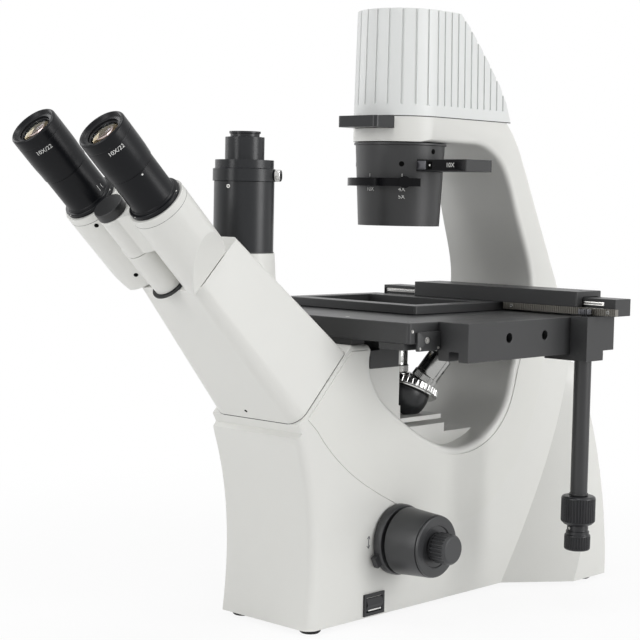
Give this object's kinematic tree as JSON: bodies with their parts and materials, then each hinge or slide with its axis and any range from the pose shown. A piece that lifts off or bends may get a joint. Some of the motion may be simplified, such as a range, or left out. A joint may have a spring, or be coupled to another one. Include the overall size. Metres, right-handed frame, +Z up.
{
  "type": "inverted microscope",
  "caption": "Inverted microscope: C-shaped stand with a tilted binocular head, camera port, mechanical stage above a turret of objectives, and a lamp arm with a long-distance condenser.",
  "frame": {"origin": "where the optical axis of the objective and condenser meets the bench that the feet stand on", "axes": "+Z up along the optical axis; -Y towards the user, so the eyepieces are at -Y; +X to the user's right, the side with the stage drive"},
  "size_m": [0.2916, 0.5998, 0.5235],
  "materials": {
    "shell": "satin off-white paint over die-cast aluminium",
    "cover": "satin off-white moulded cover",
    "anodised": "fine-blasted black anodising",
    "plastic": "black moulded plastic",
    "rubber": "matt black",
    "chrome": "polished plate",
    "steel": "ground steel",
    "lens": "coated optical glass",
    "blue_glass": "blue daylight filter glass",
    "mirror": "front-silvered mirror"
  },
  "bodies": {
    "stand": {"stand_casting": "shell", "side_cover_right": "cover", "side_cover_left": "cover", "base_plate": "anodised", "rubber_feet": "rubber", "observation_neck": "shell", "tube_lens": "lens", "relay_mirror": "mirror", "trinocular_tube": "anodised", "camera_adapter": "anodised", "hinge_pin": "anodised", "lamp_housing": "shell", "lamp_holder": "anodised", "collector_lens": "lens", "halogen_lamp": "lens", "field_lens": "lens", "condenser_body": "anodised", "condenser_lens": "lens", "stage_plate": "anodised", "stage_insert": "anodised", "stage_brackets": "anodised", "stage_side_bar": "anodised", "shaft_bushes": "anodised", "switch_bezel": "plastic", "power_inlet": "plastic"},
    "camera_screw": {"port_thumb_screw": "chrome"},
    "filter_drawer": {"filter_tray": "anodised", "blue_filter": "blue_glass"},
    "aperture_ring": {"aperture_lever": "anodised"},
    "phase_slide": {"phase_slider": "anodised"},
    "stage_y": {"y_carriage": "anodised", "x_rail": "anodised", "stage_rod": "steel"},
    "stage_x": {"x_carriage": "anodised", "x_rack": "steel", "specimen_frame": "anodised"},
    "y_drive": {"stage_knob_y": "plastic"},
    "x_drive": {"stage_knob_x": "plastic"},
    "focus_lift": {"focus_slide": "anodised", "nosepiece_dome": "anodised"},
    "turret": {"nosepiece_turret": "chrome", "objective_4x": "chrome", "objective_10x": "chrome", "objective_20x": "chrome", "objective_40x": "chrome"},
    "coarse_drive": {"coarse_shaft": "steel", "coarse_knob_right": "plastic", "coarse_knob_left": "plastic"},
    "fine_drive": {"fine_shaft": "steel", "fine_knob_right": "plastic", "fine_knob_left": "plastic"},
    "tension": {"tension_ring": "plastic"},
    "head_right": {"prism_housing_right": "shell", "ocular_tube_right": "anodised"},
    "head_left": {"prism_housing_left": "shell", "ocular_tube_left": "anodised"},
    "eye_right": {"eyepiece_right": "plastic"},
    "eye_left": {"eyepiece_left": "plastic"},
    "rocker": {"power_rocker": "plastic"},
    "dial": {"brightness_dial": "plastic"}
  },
  "joints": [
    {"name": "filter_slide", "type": "slide", "parent": "stand", "child": "filter_drawer", "axis": [0, -1, 0], "range_m": [0, 0.055]},
    {"name": "aperture_turn", "type": "hinge", "parent": "stand", "child": "aperture_ring", "pos_m": [0, 0, 0.3736], "axis": [0, 0, 1], "range_deg": [-20, 20]},
    {"name": "phase_slide_travel", "type": "slide", "parent": "stand", "child": "phase_slide", "axis": [1, 0, 0], "range_m": [-0.062, 0]},
    {"name": "stage_y_travel", "type": "slide", "parent": "stand", "child": "stage_y", "axis": [0, 1, 0], "range_m": [-0.066, 0.012]},
    {"name": "stage_x_travel", "type": "slide", "parent": "stage_y", "child": "stage_x", "axis": [1, 0, 0], "range_m": [-0.025, 0.085]},
    {"name": "y_knob_turn", "type": "hinge", "parent": "stage_y", "child": "y_drive", "pos_m": [0.1495, 0.0767, 0.09], "axis": [0, 0, 1], "range_deg": [-640, 120]},
    {"name": "x_knob_turn", "type": "hinge", "parent": "stage_y", "child": "x_drive", "pos_m": [0.1495, 0.0767, 0.065], "axis": [0, 0, 1], "range_deg": [-820, 245]},
    {"name": "focus_travel", "type": "slide", "parent": "stand", "child": "focus_lift", "axis": [0, 0, 1], "range_m": [-0.0035, 0.006]},
    {"name": "turret_turn", "type": "hinge", "parent": "focus_lift", "child": "turret", "pos_m": [0, 0, 0.16], "axis": [0, 0.4226, 0.9063], "continuous": true},
    {"name": "coarse_turn", "type": "hinge", "parent": "stand", "child": "coarse_drive", "pos_m": [0, -0.0535, 0.0673], "axis": [1, 0, 0], "range_deg": [-35, 60]},
    {"name": "fine_turn", "type": "hinge", "parent": "coarse_drive", "child": "fine_drive", "pos_m": [0, -0.0535, 0.0673], "axis": [1, 0, 0], "continuous": true},
    {"name": "tension_turn", "type": "hinge", "parent": "stand", "child": "tension", "pos_m": [0.056, -0.0535, 0.0673], "axis": [1, 0, 0], "range_deg": [-25, 25]},
    {"name": "head_right_fold", "type": "hinge", "parent": "stand", "child": "head_right", "pos_m": [0, -0.29896, 0.31643], "axis": [0, -0.7175, 0.6965], "range_deg": [0, 32]},
    {"name": "head_left_fold", "type": "hinge", "parent": "stand", "child": "head_left", "pos_m": [0, -0.29896, 0.31643], "axis": [0, -0.7175, 0.6965], "range_deg": [-32, 0]},
    {"name": "eye_right_turn", "type": "hinge", "parent": "head_right", "child": "eye_right", "pos_m": [0.0378, -0.35448, 0.38845], "axis": [0, -0.7175, 0.6965], "range_deg": [-150, 150]},
    {"name": "eye_left_turn", "type": "hinge", "parent": "head_left", "child": "eye_left", "pos_m": [-0.0378, -0.35448, 0.38845], "axis": [0, -0.7175, 0.6965], "range_deg": [-150, 150]},
    {"name": "camera_screw_turn", "type": "hinge", "parent": "stand", "child": "camera_screw", "pos_m": [0, -0.1923, 0.3754], "axis": [0.866, 0.5, 0], "range_deg": [-180, 180]},
    {"name": "rocker_tilt", "type": "hinge", "parent": "stand", "child": "rocker", "pos_m": [0.046, -0.081, 0.015], "axis": [0, 1, 0], "range_deg": [-4, 4]},
    {"name": "dial_turn", "type": "hinge", "parent": "stand", "child": "dial", "pos_m": [-0.055, -0.081, 0.018], "axis": [-1, 0, 0], "range_deg": [0, 270]}
  ],
  "couplings": [
    {"joint": "y_knob_turn", "follows": "stage_y_travel", "rad_per_m": 166.67},
    {"joint": "x_knob_turn", "follows": "stage_x_travel", "rad_per_m": -166.67},
    {"joint": "coarse_turn", "follows": "focus_travel", "rad_per_m": 166.67},
    {"joint": "head_left_fold", "follows": "head_right_fold", "ratio": -1}
  ]
}
